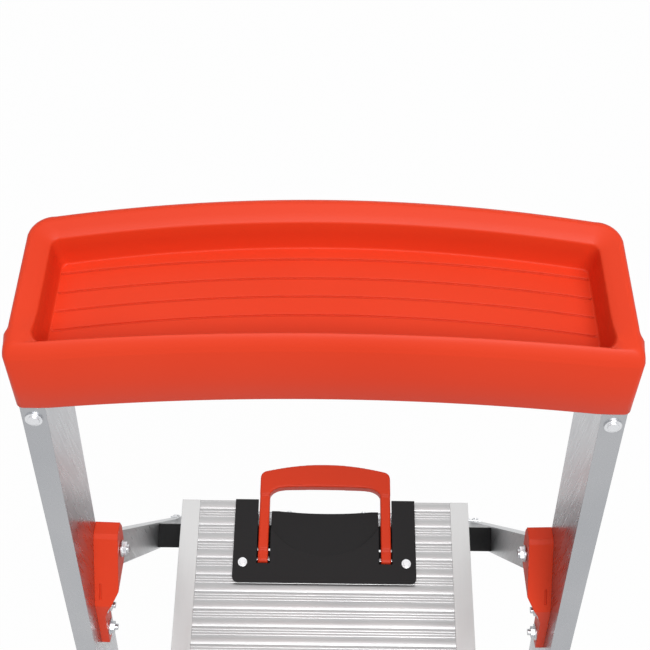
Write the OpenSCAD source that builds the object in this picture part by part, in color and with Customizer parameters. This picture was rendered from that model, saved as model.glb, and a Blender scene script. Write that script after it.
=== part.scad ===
// Aluminium platform step ladder: two channel front rails capped by a moulded tool tray,
// two treads and a hinged ribbed deck, and a rear frame that folds on moulded brackets.
// X runs across the ladder, the climber stands at -Y, and the floor is Z = 0.

/* [Overall] */
// Height of the standing surface above the floor
deck_h = 889; // [860:1:930]
// Height of the tray's lower edge above the standing surface
tray_rise = 574; // [555:1:600]
// Width across the front rails at the tray
top_w = 440; // [430:1:470]

/* [Front rails] */
// Lean of the front rails from upright, in degrees
front_lean = 16.5; // [15.5:0.1:17.5]
// Outward splay of each front rail, in degrees
front_splay = 2.7; // [2.5:0.05:3]
// Depth of a front rail, front flange to rear flange
rail_depth = 69.2; // [64:0.2:76]
// Width of a front rail's flanges
rail_flange = 18.6; // [16:0.2:24]
// Wall of the rails
rail_wall = 2.2; // [1.6:0.1:3]

/* [Rear rails] */
// Lean of the rear rails from upright, in degrees
rear_lean = 19.1; // [17:0.1:21]
// Outward splay of each rear rail, in degrees
rear_splay = 2.5; // [2.3:0.05:2.7]
// Depth of a rear rail
rear_depth = 32.6; // [26:0.2:36]
// Width of a rear rail's flanges
rear_flange = 15.6; // [12:0.2:16]

/* [Hinge] */
// Distance of the hinge bolt down the front rail from the tray's lower edge
hinge_drop = 276; // [262:1:300]
// Distance of the hinge bolt behind the front rail's front face
hinge_back = 59.5; // [56:0.5:64]
// Radius of the hinge bolt
hinge_r = 4; // [3:0.5:5]
// Thickness of the bracket at the hinge, from the rail's web inward
bracket_t = 22.6; // [22.6:0.2:26]

/* [Deck] */
// Width of the deck
deck_w = 357.5; // [330:0.5:360]
// Depth of the deck
deck_d = 300; // [290:1:310]
// Height of the deck's side bars
deck_t = 26; // [22:1:30]
// Width of the deck's smooth side bars
side_bar_w = 22.5; // [18:0.5:28]
// Distance from one tread band of the deck to the next
rib_pitch = 20.7; // [16:0.1:26]

/* [Latch plate and handle] */
// Width of the black plate
plate_w = 223; // [210:1:240]
// Depth of the black plate
plate_d = 104; // [98:1:112]
// Distance between the middles of the two handle slots
slot_gap = 149.5; // [140:0.5:160]
// Width of each handle slot
slot_w = 16.4; // [15:0.2:20]
// Width of a handle leg
leg_w = 13; // [10:0.2:14]
// Length of the handle from its pins to the back of its grip
handle_l = 121; // [112:1:130]

/* [Treads] */
// Depth of a tread, front to back
tread_d = 66; // [56:1:68]
// Height of a tread's skirts
tread_t = 26; // [20:1:30]

/* [Tray] */
// Height of the tray above its lower edge
tray_h = 61; // [56:1:70]
// Depth of the tray at its ends, at the rim
tray_d = 108; // [100:1:120]
// Depth of the tray's bowl
bowl_depth = 34; // [28:1:38]
// Thickness of the tray's walls
tray_wall = 3; // [2.4:0.2:4]

/* [Clearances] */
// Running gap beside moving parts
gap = 0.4; // [0.3:0.1:0.6]
// Gap between a rear rail and its bracket's back plate at the hinge
hinge_gap = 1; // [0.8:0.1:1.4]
// Radial clearance of a rivet or bolt in its hole
hole_gap = 0.05; // [0.02:0.01:0.1]

/* [Hidden] */
$fn = 48;

// Overall lay-out
foot_wall = 3;
foot_h = 46;
foot_sole = 8;
front_reach = (deck_h + tray_rise) * tan(front_lean) + foot_wall / cos(front_lean);
top_z = deck_h + tray_rise;
hinge_height = top_z - hinge_drop * cos(front_lean) - hinge_back * sin(front_lean);
hinge_behind = hinge_back * cos(front_lean) - hinge_drop * sin(front_lean);
rear_reach = hinge_behind + hinge_height * tan(rear_lean) + (rear_depth / 2 + foot_wall) / cos(rear_lean);
top_y = (front_reach - rear_reach) / 2;
tread_rise = deck_h / 3;

// Places on the front rail's side view, from the distance down it and back from its face
function rail_face_y(z) = top_y - (top_z - z) * tan(front_lean);
function down_rail(z) = (top_z - z) / cos(front_lean);
function web_x(z) = top_w / 2 - rail_flange + down_rail(z) * tan(front_splay);

hinge_y = top_y + hinge_behind;
plate_wall = 3;
hinge_web_x = top_w / 2 - rail_flange + hinge_drop * tan(front_splay);
rear_in_x = hinge_web_x - plate_wall - hinge_gap - rear_flange;
rear_length = hinge_height / cos(rear_lean);

// Deck lay-out
deck_hinge_y = rail_face_y(deck_h) + 31;
deck_hinge_z = deck_h - 16;
deck_back = rail_face_y(deck_h) - 2 + deck_d;
deck_skin = 3;
panel_w = deck_w - 2 * side_bar_w;
rod_r = 5;
bar_notch_t = 15.5;
ledge_w = 10;

// Crossbar lay-out
crossbar_size = 29;
crossbar_drop = 353;
crossbar_y = hinge_y + crossbar_drop * sin(rear_lean);
crossbar_z = hinge_height - crossbar_drop * cos(rear_lean);
pad_x = (deck_w - side_bar_w) / 2;
notch_y = crossbar_y - crossbar_size * 0.64 - 12;

// Handle lay-out
plate_t = 4;
pin_y = deck_back - 74;
pin_z = deck_h - 5;
pin_r = 2.5;
leg_t = 12;
slot_front = pin_y - leg_t / 2 - 0.8;

// Fasteners
rivet_r = 2.4;
rivet_head_r = 6.5;
rivet_head_h = 2.6;

// ---------- shared forms ----------

module both_sides() {
    children();
    mirror([1, 0, 0]) children();
}

// Right front rail's own axes: x outward from its outer front edge, y back, z up the rail
module on_front_rail(drop = 0) {
    translate([top_w / 2, top_y, top_z])
        rotate([-front_lean, 0, 0])
            rotate([0, -front_splay, 0])
                translate([0, 0, -drop]) children();
}

// Right rear rail's own axes: x outward from its inner face, y back, z up, from the hinge bolt
module on_rear_rail(drop = 0) {
    translate([rear_in_x, hinge_y, hinge_height])
        rotate([rear_lean, 0, 0])
            rotate([0, -rear_splay, 0])
                translate([0, 0, -drop]) children();
}

// Bar along X from one distance to another
module bar_x(from, to, r) {
    translate([from, 0, 0]) rotate([0, 90, 0]) cylinder(h = to - from, r = r);
}

// Domed rivet along X: its head sits outside x = 0 and its tail past -length
module rivet(length, r = rivet_r, head_r = rivet_head_r) {
    bar_x(-length, 0, r);
    bar_x(0, rivet_head_h * 0.55, head_r);
    bar_x(rivet_head_h * 0.5, rivet_head_h, head_r * 0.66);
    bar_x(-length - rivet_head_h * 0.7, -length, head_r * 0.8);
}

// Channel with its web at the inner side and its flanges outward
module channel(depth, flange, wall) {
    difference() {
        translate([-flange, 0]) square([flange, depth]);
        translate([-flange + wall, wall]) square([flange, depth - 2 * wall]);
    }
}

// Everything below a height
module below(z) {
    translate([-500, -700, z - 400]) cube([1000, 1400, 400]);
}

// ---------- front frame ----------

tray_rivet_drop = 13;
tray_tab_t = 9;

// Rivet and bolt places on the front rail's web: distance down and distance back
bracket_bolt_places = [[336, 35], [371, 31]];
bracket_bolt_r = 3;

module front_rail() {
    rail_top = 18;
    rail_length = top_z / cos(front_lean) / cos(front_splay) + 40;
    difference() {
        on_front_rail() translate([0, 0, -rail_length])
            linear_extrude(rail_length + rail_top) channel(rail_depth, rail_flange, rail_wall);
        below(foot_sole);
        on_front_rail(tray_rivet_drop) front_flange_hole();
        for (place = bracket_bolt_places)
            on_front_rail(place[0]) translate([0, place[1], 0])
                bar_x(-rail_flange - 5, -rail_flange + 5, bracket_bolt_r + hole_gap);
        translate([0, hinge_y, hinge_height]) bar_x(0, 400, hinge_r + hole_gap);
        translate([0, deck_hinge_y, deck_hinge_z]) bar_x(0, 400, rod_r + hole_gap);
        for (level = [1, 2]) tread_rivet_places(level) bar_x(-15, 15, rivet_r + hole_gap);
        brace_rail_place() bar_x(-15, 15, rivet_r + hole_gap);
        foot_rivet_place() bar_x(-15, 15, rivet_r + hole_gap);
    }
}

module front_flange_hole() {
    translate([-rail_flange / 2 + 0.5, -5, 0]) rotate([-90, 0, 0])
        cylinder(h = rail_wall + tray_tab_t + 8, r = rivet_r + hole_gap);
}

module front_rail_left() color("silver") mirror([1, 0, 0]) front_rail();
module front_rail_right() color("silver") front_rail();

// Plan outline of the tray, drawn inward by an inset: bowed front and back, rounded corners
tray_half_w = top_w / 2 + 1.6;
front_bow = 9.5;
back_bow = 16;
function bow(x, rise) = rise * (1 - pow(x / tray_half_w, 2));
function arc_points(c, r, a0, a1, n) =
    [for (i = [0:n]) let (a = a0 + (a1 - a0) * i / n) c + r * [cos(a), sin(a)]];
function tray_outline(inset, corner) =
    let (w = tray_half_w - inset, back = tray_back_y - inset, front = -40, steps = 16, turn = 8)
    let (xs = w - corner, yb = back + bow(xs, back_bow) - corner)
    concat(
        [for (i = [0:steps]) let (x = -w + 2 * w * i / steps) [x, front + bow(x, front_bow)]],
        arc_points([xs, yb], corner, 0, 90 - turn, 6),
        [for (i = [1:steps - 1]) let (x = xs - 2 * xs * i / steps) [x, back + bow(x, back_bow)]],
        arc_points([-xs, yb], corner, 90 + turn, 180, 6)
    );

tray_lip = 19;
tray_near_lip = 5;
tray_back_y = tray_h * tan(front_lean) + tray_d;
tray_end_w = 34;
tray_floor_z = top_z + tray_h - bowl_depth;
tray_socket_gap = 0.3;

// Slab of the tray's outline between two heights
module tray_slab(inset, corner, low, high) {
    translate([0, top_y, low]) linear_extrude(high - low) polygon(tray_outline(inset, corner));
}

// Leaning block whose bowed front face lies in the plane of the rails' front faces
module tray_lean(offset_back, reach) {
    translate([0, top_y, top_z]) rotate([-front_lean, 0, 0])
        translate([0, 0, -60]) linear_extrude(220)
            polygon(concat(
                [for (i = [0:16]) let (x = -tray_half_w + 2 * tray_half_w * i / 16)
                    [x, offset_back + bow(x, front_bow)]],
                [[tray_half_w, reach], [-tray_half_w, reach]]));
}

module tool_tray() {
    rim_step = 3;
    top = top_z + tray_h;
    color("orangered") difference() {
        union() {
            intersection() {
                union() {
                    tray_slab(0, 26, top_z, top - rim_step);
                    tray_slab(2, 24, top - rim_step - 1, top);
                }
                tray_lean(-tray_wall, 260);
            }
            both_sides() tray_tab();
        }
        // bowl
        intersection() {
            tray_slab(tray_lip, 14, tray_floor_z, top + 1);
            tray_bowl_front(0);
        }
        // hollow underside, between the end blocks
        intersection() {
            difference() {
                tray_slab(tray_wall, 20, top_z - 1, top - 2 * tray_wall);
                intersection() {
                    tray_slab(tray_lip - tray_wall, 14, tray_floor_z - tray_wall, top);
                    tray_bowl_front(-tray_wall);
                }
            }
            tray_lean(0, 260);
            translate([-(top_w / 2 - tray_end_w), -200, top_z - 1])
                cube([top_w - 2 * tray_end_w, 500, tray_h]);
        }
        // sockets for the rail tops
        both_sides() tray_socket();
        both_sides() on_front_rail(tray_rivet_drop) front_flange_hole();
    }
}

// Front wall of the bowl: upright, bowed like the tray's front
module tray_bowl_front(offset) {
    start = tray_h * tan(front_lean) + tray_near_lip + offset;
    translate([0, top_y, top_z - 5]) linear_extrude(tray_h + 20)
        polygon(concat(
            [for (i = [0:16]) let (x = -tray_half_w + 2 * tray_half_w * i / 16)
                [x, start + bow(x, front_bow)]],
            [[tray_half_w, 260], [-tray_half_w, 260]]));
}

// Space that the rail top takes in the tray
module tray_socket() {
    g = tray_socket_gap;
    on_front_rail() translate([-rail_flange - g, -g, -60])
        difference() {
            cube([rail_flange + 2 * g, rail_depth + 2 * g, 60 + 18 + g]);
            translate([rail_wall + 2 * g, rail_wall + 2 * g, -1])
                cube([rail_flange + 9, rail_depth - 2 * rail_wall - 2 * g, 60 + 18 + 9]);
        }
}

// Tab that reaches down inside the channel behind the front flange
module tray_tab() {
    on_front_rail() translate([-rail_flange + rail_wall + tray_socket_gap, rail_wall + tray_socket_gap, -26])
        cube([rail_flange - rail_wall - 2, tray_tab_t, 40]);
}

module tray_rivets() color("gainsboro") both_sides() on_front_rail(tray_rivet_drop)
    translate([-rail_flange / 2 + 0.5, 0, 0]) rotate([0, 0, -90])
        rivet(rail_wall + tray_socket_gap + tray_tab_t);

// Side outline of the bracket, as distance back and height up the rail
function rail_pts(list) = [for (p = list) [p[0], -p[1]]];

module hinge_bracket() {
    top = hinge_drop - 29;
    front = 22;
    low = hinge_drop + 110;
    clear_back = hinge_back - rear_depth / 2 - 1.2;
    front_slope = [[front, hinge_drop + 41], [hinge_back - 6, top + 4]];
    body_side = rail_pts([
        [rail_depth + 1, top], [rail_depth + 6, top + 12], [rail_depth + 5, top + 44],
        [clear_back + 3, hinge_drop + 48], [clear_back, hinge_drop + 62],
        [clear_back, low - 16], [clear_back - 10, low + 3], [front, low],
        each front_slope, [rail_depth - 12, top]]);
    inward = [
        [0, -top + 5], [-bracket_t, -top + 5], [-bracket_t, -(hinge_drop + 26)],
        [-12, -(hinge_drop + 48)], [-8, -(hinge_drop + 62)], [-8, -low - 5], [0, -low - 5]];
    difference() {
        on_front_rail() translate([-rail_flange, 0, 0]) intersection() {
            // side view
            translate([-bracket_t, 0, 0]) rotate([90, 0, 90]) linear_extrude(bracket_t) polygon(body_side);
            // front view
            translate([0, rail_depth + 20, 0]) rotate([90, 0, 0])
                linear_extrude(rail_depth + 30) polygon(inward);
        }
        bracket_cavity(clear_back);
        // drain slit in the front slope
        on_front_rail() translate([-rail_flange - 6.2, 0, 0]) rotate([90, 0, 90]) linear_extrude(1.8)
            polygon(rail_pts([for (corner = [[0.1, -4], [0.34, -4], [0.34, 1.8], [0.1, 1.8]])
                front_slope[0] + (front_slope[1] - front_slope[0]) * corner[0] + [corner[1], 0]]));
        for (place = bracket_bolt_places)
            on_front_rail(place[0]) translate([0, place[1], 0])
                bar_x(-rail_flange - 30, 0, bracket_bolt_r + hole_gap);
        // seats for the nuts
        for (place = bracket_bolt_places)
            on_front_rail(place[0]) translate([0, place[1], 0])
                bar_x(-rail_flange - 40, -rail_flange - 8, 9);
        translate([0, hinge_y, hinge_height]) bar_x(0, 400, hinge_r + hole_gap);
    }
}

// Room in the bracket for the rear rail's head, from open to folded
module bracket_cavity(clear_back) {
    depth_in = rear_flange + hinge_gap + gap;
    head = 13;
    intersection() {
        on_front_rail() translate([-rail_flange - plate_wall - depth_in, -100, -hinge_drop - 200])
            cube([depth_in, 400, 400]);
        translate([0, hinge_y, hinge_height]) rotate([-front_lean, 0, 0])
            rotate([90, 0, 90]) linear_extrude(400) {
                circle(r = head);
                polygon([
                    [clear_back - hinge_back, -14], [-9.5, 9], [60, 9], [60, -140],
                    [clear_back - hinge_back, -140]]);
            }
    }
}

module hinge_bracket_left() color("orangered") mirror([1, 0, 0]) hinge_bracket();
module hinge_bracket_right() color("orangered") hinge_bracket();

// Bolts through the web and the bracket: head in the channel, thread inward
module bracket_bolt() {
    bar_x(-rail_flange - 8 - 8, -rail_flange + rail_wall, bracket_bolt_r);
    bar_x(-rail_flange + rail_wall, -rail_flange + rail_wall + 3.5, 6);
}

module bracket_bolts() color("gainsboro") both_sides() for (place = bracket_bolt_places)
    on_front_rail(place[0]) translate([0, place[1], 0]) bracket_bolt();

module bracket_nuts() color("gainsboro") both_sides() for (place = bracket_bolt_places)
    on_front_rail(place[0]) translate([-rail_flange - 8, place[1], 0]) difference() {
        union() {
            bar_x(-1.4, 0, 8);
            translate([-5, 0, 0]) rotate([0, 90, 0]) cylinder(h = 4, r = 5.6, $fn = 6);
        }
        bar_x(-10, 5, bracket_bolt_r + hole_gap);
    }

// Hinge bolt: along X through web, bracket plate, bush and bracket wall
hinge_bolt_in = hinge_web_x - bracket_t - 8;
hinge_bolt_out = hinge_web_x + rail_wall;
hinge_seat_x = hinge_bolt_out + 0.6;
module hinge_bolt() {
    translate([0, hinge_y, hinge_height]) {
        bar_x(hinge_bolt_in, hinge_seat_x, hinge_r);
        bar_x(hinge_seat_x, hinge_seat_x + 4, 7.5);
    }
}
module hinge_bolt_left() color("gainsboro") mirror([1, 0, 0]) hinge_bolt();
module hinge_bolt_right() color("gainsboro") hinge_bolt();

module hinge_nuts() color("gainsboro") both_sides()
    translate([hinge_web_x - bracket_t - 1, hinge_y, hinge_height]) difference() {
        union() {
            bar_x(-1.4, 0, 8);
            translate([-5.4, 0, 0]) rotate([0, 90, 0]) cylinder(h = 4.2, r = 6.6, $fn = 6);
        }
        bar_x(-10, 5, hinge_r + hole_gap);
    }

// ---------- treads ----------

tread_rivet_back = [18, 48];
tread_gap = 0.3;
tread_rib = 1.2;
tread_skin = 2.5;
end_plate_t = 2.5;
end_plate_drop = 13;

function tread_z(level) = deck_h - level * tread_rise;

// Places on the web at a height and a distance back from the rail's face
module on_web(z, back) {
    on_front_rail((top_z - z - back * sin(front_lean)) / cos(front_lean) / cos(front_splay))
        translate([-rail_flange, back, 0]) children();
}

module tread_rivet_places(level) {
    for (back = tread_rivet_back) on_web(tread_z(level) - end_plate_drop, back) children();
}

// Everything outboard of a distance inward from the right front web
module outboard(inward) {
    on_front_rail() translate([-rail_flange - inward, -200, -2200]) cube([400, 500, 2300]);
}

// Tread: ribbed top with front and rear skirts and an end plate against each web
module tread(level) {
    z = tread_z(level);
    y = rail_face_y(z);
    reach = web_x(z - tread_t) + 3;
    difference() {
        union() {
            translate([-reach, y, z]) rotate([90, 0, 90]) linear_extrude(2 * reach) tread_profile(tread_rib);
            both_sides() intersection() {
                translate([0, y + 1, z - tread_t + 1])
                    cube([reach, tread_d - 2, tread_t - 1 - tread_rib - 0.1]);
                outboard(tread_gap + end_plate_t);
            }
        }
        both_sides() outboard(tread_gap);
        both_sides() tread_rivet_places(level) bar_x(-15, 15, rivet_r + hole_gap);
        if (level == 2) both_sides() brace_tread_place() {
            cylinder(h = 40, r = rivet_r + hole_gap, center = true);
            cylinder(h = 10, r = 6);
        }
    }
}

// Profile across a tread, from its top front edge
module tread_profile(rib) {
    wall = tread_skin;
    count = 8;
    step = (tread_d - 6) / count;
    translate([0, -rib - wall]) square([tread_d, wall]);
    for (i = [0:count - 1]) translate([3 + i * step, -rib - 0.5]) square([step * 0.5, rib + 0.5]);
    translate([0, -tread_t]) square([wall, tread_t - rib]);
    translate([tread_d - wall, -tread_t]) square([wall, tread_t - rib]);
    translate([0, -tread_t]) square([9, wall]);
    translate([tread_d - 9, -tread_t]) square([9, wall]);
}

module upper_tread() color("silver") tread(1);
module lower_tread() color("silver") tread(2);

module tread_rivets() color("gainsboro") both_sides() for (level = [1, 2]) tread_rivet_places(level)
    translate([rail_wall, 0, 0]) rivet(rail_wall + tread_gap + end_plate_t, rivet_r, 6);

// Flat braces from under the lower tread to the rails
brace_t = 3;
brace_w = 18;
brace_in = 92;
brace_drop = 96;
brace_back = 33;
brace_y = rail_face_y(tread_z(2)) + brace_back;
brace_top_x = web_x(tread_z(2)) - brace_in;
brace_rail_z = tread_z(2) - brace_drop;
brace_low_x = web_x(brace_rail_z) - tread_gap;
brace_top_z = tread_z(2) - tread_rib - tread_skin - 0.05;

module brace_tread_place() translate([brace_top_x, brace_y, tread_z(2) - tread_rib]) children();
module brace_rail_place() on_web(brace_rail_z, brace_back) children();

module tread_brace() {
    difference() {
        intersection() {
            translate([0, brace_y, brace_top_z]) rotate([-front_lean, 0, 0]) rotate([90, 0, 0])
                translate([0, 0, -brace_w / 2]) linear_extrude(brace_w) brace_outline();
            translate([0, -600, 0]) cube([brace_low_x + 9, 1200, brace_top_z]);
        }
        brace_tread_place() cylinder(h = 40, r = rivet_r + hole_gap, center = true);
        // flat seat for the rivet's tail
        brace_tread_place() translate([0, 0, -tread_skin - brace_t - 12]) cylinder(h = 11.7, r = 6);
        brace_rail_place() bar_x(-15, 15, rivet_r + hole_gap);
        // face against the rail's web
        outboard(0.1);
    }
}

// Bent strap: flat under the tread, slanting down, then flat against the web
brace_pad = 3.4;
module brace_outline() {
    x0 = brace_top_x - 10;
    x1 = brace_top_x + 12;
    x2 = brace_low_x - brace_pad;
    z2 = -(brace_drop - 28) / cos(front_lean);
    z3 = -(brace_drop + 8) / cos(front_lean);
    polygon([
        [x0, 1], [x1 + 1.5, 1], [x2 + 1, z2 + 5], [x2 + 20, z2 + 5], [x2 + 20, z3],
        [x2 + 1.2, z3], [x2 - 1.8, z2], [x1 - 1, -brace_t], [x0, -brace_t]]);
}

module tread_brace_left() color("silver") mirror([1, 0, 0]) tread_brace();
module tread_brace_right() color("silver") tread_brace();

module tread_brace_rivets() color("gainsboro") both_sides() {
    brace_tread_place() rotate([0, -90, 0]) rivet(tread_skin + brace_t + 0.3, rivet_r, 5);
    brace_rail_place() translate([rail_wall, 0, 0]) rivet(rail_wall + brace_pad + 0.2, rivet_r, 6);
}

// ---------- feet ----------

// Moulded foot around the rail's lower end, with a flat sole on the floor
module front_foot() {
    w = foot_wall;
    g = tray_socket_gap;
    long = 120;
    start = top_z / cos(front_lean) / cos(front_splay);
    difference() {
        on_front_rail(start + long / 2) translate([-rail_flange - w, -w, 0])
            cube([rail_flange + 2 * w, rail_depth + 2 * w, long / 2 + foot_h]);
        below(0);
        // room for the rail
        difference() {
            on_front_rail(start + long) translate([-rail_flange - g, -g, 0])
                difference() {
                    cube([rail_flange + 2 * g, rail_depth + 2 * g, long + 200]);
                    translate([rail_wall + 2 * g, rail_wall + 2 * g, -1])
                        cube([rail_flange, rail_depth - 2 * rail_wall - 4 * g, long + 300]);
                }
            below(foot_sole);
        }
        // tread grooves across the sole
        for (i = [0:4]) translate([0, rail_face_y(0) + 10 + i * 13, -1]) cube([400, 3, 3]);
        foot_rivet_place() bar_x(-40, 40, rivet_r + hole_gap);
    }
}

module foot_rivet_place() on_front_rail(down_rail(foot_h * 0.66))
    translate([-rail_flange, rail_depth / 2, 0]) children();

module front_foot_left() color("dimgray") mirror([1, 0, 0]) front_foot();
module front_foot_right() color("dimgray") front_foot();

module front_foot_rivets() color("gainsboro") both_sides() foot_rivet_place()
    translate([rail_flange + foot_wall, 0, 0]) rivet(rail_flange + 2 * foot_wall, rivet_r, 5.5);

// ---------- deck hinge rod ----------

rod_web_x = web_x(deck_hinge_z);
module deck_hinge_rod() color("gainsboro") translate([0, deck_hinge_y, deck_hinge_z])
    bar_x(-rod_web_x - 8, rod_web_x + 8, rod_r);

module rod_spacer() {
    translate([0, deck_hinge_y, deck_hinge_z]) difference() {
        bar_x(deck_w / 2 + gap, rod_web_x - 1, 9);
        bar_x(0, rod_web_x + 20, rod_r + hole_gap);
    }
}
module rod_spacer_left() color("dimgray") mirror([1, 0, 0]) rod_spacer();
module rod_spacer_right() color("dimgray") rod_spacer();

module rod_nuts() color("gainsboro") both_sides()
    translate([rod_web_x + rail_wall + 0.8, deck_hinge_y, deck_hinge_z]) difference() {
        bar_x(0, 3.6, 8.5);
        bar_x(-5, 20, rod_r + hole_gap);
    }

// ---------- rear frame ----------

module rear_rail() {
    long = rear_length / cos(rear_splay) + 40;
    side = [
        [-rear_depth / 2, -long], [rear_depth / 2, -long], [rear_depth / 2, -22], [10.6, -5.6],
        [9, 8], [0, 11.4], [-9, 8], [-10.6, -5.6], [-rear_depth / 2, -22]];
    difference() {
        on_rear_rail() difference() {
            rotate([90, 0, 90]) linear_extrude(rear_flange) polygon(side);
            translate([rail_wall, -rear_depth / 2 + rail_wall, -long - 1])
                cube([rear_flange, rear_depth - 2 * rail_wall, long + 40]);
        }
        below(foot_sole);
        translate([0, hinge_y, hinge_height]) bar_x(0, 400, bush_neck_r + hole_gap);
        on_rear_rail(crossbar_drop) crossbar_rivet_places() bar_x(-10, 10, rivet_r + hole_gap);
        brace_rivet_places() cylinder(h = 20, r = rivet_r + hole_gap, center = true);
        rear_foot_rivet_place() bar_x(-10, 10, rivet_r + hole_gap);
    }
}
module rear_rail_left() color("silver") mirror([1, 0, 0]) rear_rail();
module rear_rail_right() color("silver") rear_rail();

// Bush in the rear rail's head, turning on the hinge bolt
bush_neck_r = 6;
module hinge_bush() {
    translate([0, hinge_y, hinge_height]) difference() {
        union() {
            bar_x(rear_in_x + 0.1, rear_in_x + rail_wall + 2, bush_neck_r);
            bar_x(rear_in_x + rail_wall + 0.9, rear_in_x + rear_flange - 0.6, 9.4);
        }
        bar_x(0, 400, hinge_r + 0.06);
    }
}
module hinge_bush_left() color("dimgray") mirror([1, 0, 0]) hinge_bush();
module hinge_bush_right() color("dimgray") hinge_bush();

// Black crossbar under the back of the deck
crossbar_wall = 2.2;
crossbar_end_x = rear_in_x + crossbar_drop * tan(rear_splay);
module crossbar_rivet_places() {
    for (side = [-1, 1]) translate([0, side * 7, 0]) children();
}
crossbar_end_t = 4.6;
module crossbar() color("#222222") {
    inside = crossbar_size - 2 * crossbar_wall;
    difference() {
        translate([0, crossbar_y, crossbar_z]) rotate([rear_lean, 0, 0])
            cube([2 * crossbar_end_x + 20, crossbar_size, crossbar_size], center = true);
        difference() {
            translate([0, crossbar_y, crossbar_z]) rotate([rear_lean, 0, 0])
                cube([2 * crossbar_end_x + 40, inside, inside], center = true);
            both_sides() on_rear_rail(crossbar_drop) translate([-crossbar_end_t, -40, -40]) cube([80, 80, 80]);
        }
        both_sides() on_rear_rail(crossbar_drop) translate([-0.1, -40, -40]) cube([80, 80, 80]);
        both_sides() on_rear_rail(crossbar_drop) crossbar_rivet_places() bar_x(-20, 10, rivet_r + hole_gap);
    }
}
module crossbar_rivets() color("gainsboro") both_sides() on_rear_rail(crossbar_drop) crossbar_rivet_places()
    translate([rail_wall, 0, 0]) rivet(rail_wall + crossbar_end_t, rivet_r, 5);

// Saddles on the crossbar that carry the deck's side bars
module deck_rest_pads() color("dimgray") both_sides() difference() {
    translate([pad_x - 10, crossbar_y - 17, crossbar_z])
        cube([20, 34, deck_h - bar_notch_t - 0.3 - crossbar_z]);
    translate([0, crossbar_y, crossbar_z]) rotate([rear_lean, 0, 0])
        translate([0, 0, -50 + crossbar_size / 2]) cube([600, 120, 100], center = true);
}

// Cross braces on the rear faces of the rear rails
// Heights of the two braces above the floor, up the rail
brace_heights = [610, 240];
brace_drops = [for (up = brace_heights) rear_length - up];
rear_brace_h = 25;
rear_brace_t = 2.5;
rear_diag_x = 70;
module on_rear_face(drop) {
    translate([0, hinge_y, hinge_height]) rotate([rear_lean, 0, 0])
        translate([0, rear_depth / 2, -drop]) children();
}
function rear_mid_x(drop) = rear_in_x + drop * tan(rear_splay) + rear_flange / 2;

module brace_rivet_places() {
    for (drop = brace_drops) on_rear_face(drop)
        translate([rear_mid_x(drop), 0, 0]) rotate([90, 0, 0]) children();
    on_rear_face(diag_low) translate([rear_mid_x(diag_low), 0, 0]) rotate([90, 0, 0]) children();
}

module rear_brace(drop) {
    half = rear_mid_x(drop) + 7;
    difference() {
        on_rear_face(drop) translate([0, rear_brace_t / 2 + 0.1, 0]) union() {
            cube([2 * half, rear_brace_t, rear_brace_h], center = true);
            for (side = [-1, 1]) translate([0, -5, side * (rear_brace_h / 2 - 1.2)])
                cube([2 * (half - rear_flange - 10), 11, 2.4], center = true);
        }
        both_sides() brace_rivet_places() cylinder(h = 30, r = rivet_r + hole_gap, center = true);
        both_sides() diag_top_place() cylinder(h = 40, r = rivet_r + hole_gap, center = true);
    }
}
module rear_brace_upper() color("silver") rear_brace(brace_drops[0]);
module rear_brace_lower() color("silver") rear_brace(brace_drops[1]);

// Diagonal straps from the lower brace down to the rails
diag_low = brace_drops[1] + 150;
module diag_top_place() on_rear_face(brace_drops[1])
    translate([rear_diag_x, 0, 0]) rotate([90, 0, 0]) children();
diag_t = 2.4;
diag_back = 2 * 0.1 + rear_brace_t;
module rear_diagonal() {
    x_low = rear_mid_x(diag_low);
    rise = diag_low - brace_drops[1];
    run = x_low - rear_diag_x;
    slope = atan2(rise, run);
    strap = sqrt(rise * rise + run * run);
    difference() {
        union() {
            on_rear_face(diag_low) translate([x_low, diag_back, 0]) rotate([0, slope, 0])
                translate([-strap - 9, 0, -7.5]) cube([strap + 17, diag_t, 15]);
            // boss that spaces the strap off the rail
            on_rear_face(diag_low) translate([x_low, 0.1, 0]) rotate([-90, 0, 0])
                cylinder(h = diag_back, r = 7);
        }
        brace_rivet_places() cylinder(h = 30, r = rivet_r + hole_gap, center = true);
        diag_top_place() cylinder(h = 40, r = rivet_r + hole_gap, center = true);
    }
}
module rear_diagonal_left() color("silver") mirror([1, 0, 0]) rear_diagonal();
module rear_diagonal_right() color("silver") rear_diagonal();

module rear_brace_rivets() color("gainsboro") both_sides() {
    for (drop = brace_drops) on_rear_face(drop) translate([rear_mid_x(drop), rear_brace_t + 0.1, 0])
        rotate([0, 0, 90]) rivet(rear_brace_t + 0.1 + rail_wall, rivet_r, 5);
    on_rear_face(brace_drops[1]) translate([rear_diag_x, diag_back + diag_t, 0])
        rotate([0, 0, 90]) rivet(rear_brace_t + diag_t + 0.1, rivet_r, 5);
    on_rear_face(diag_low) translate([rear_mid_x(diag_low), diag_back + diag_t, 0])
        rotate([0, 0, 90]) rivet(diag_back + diag_t + rail_wall, rivet_r, 5);
}

module rear_foot_rivet_place() on_rear_rail((hinge_height - foot_h * 0.66) / cos(rear_lean)) children();

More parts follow.
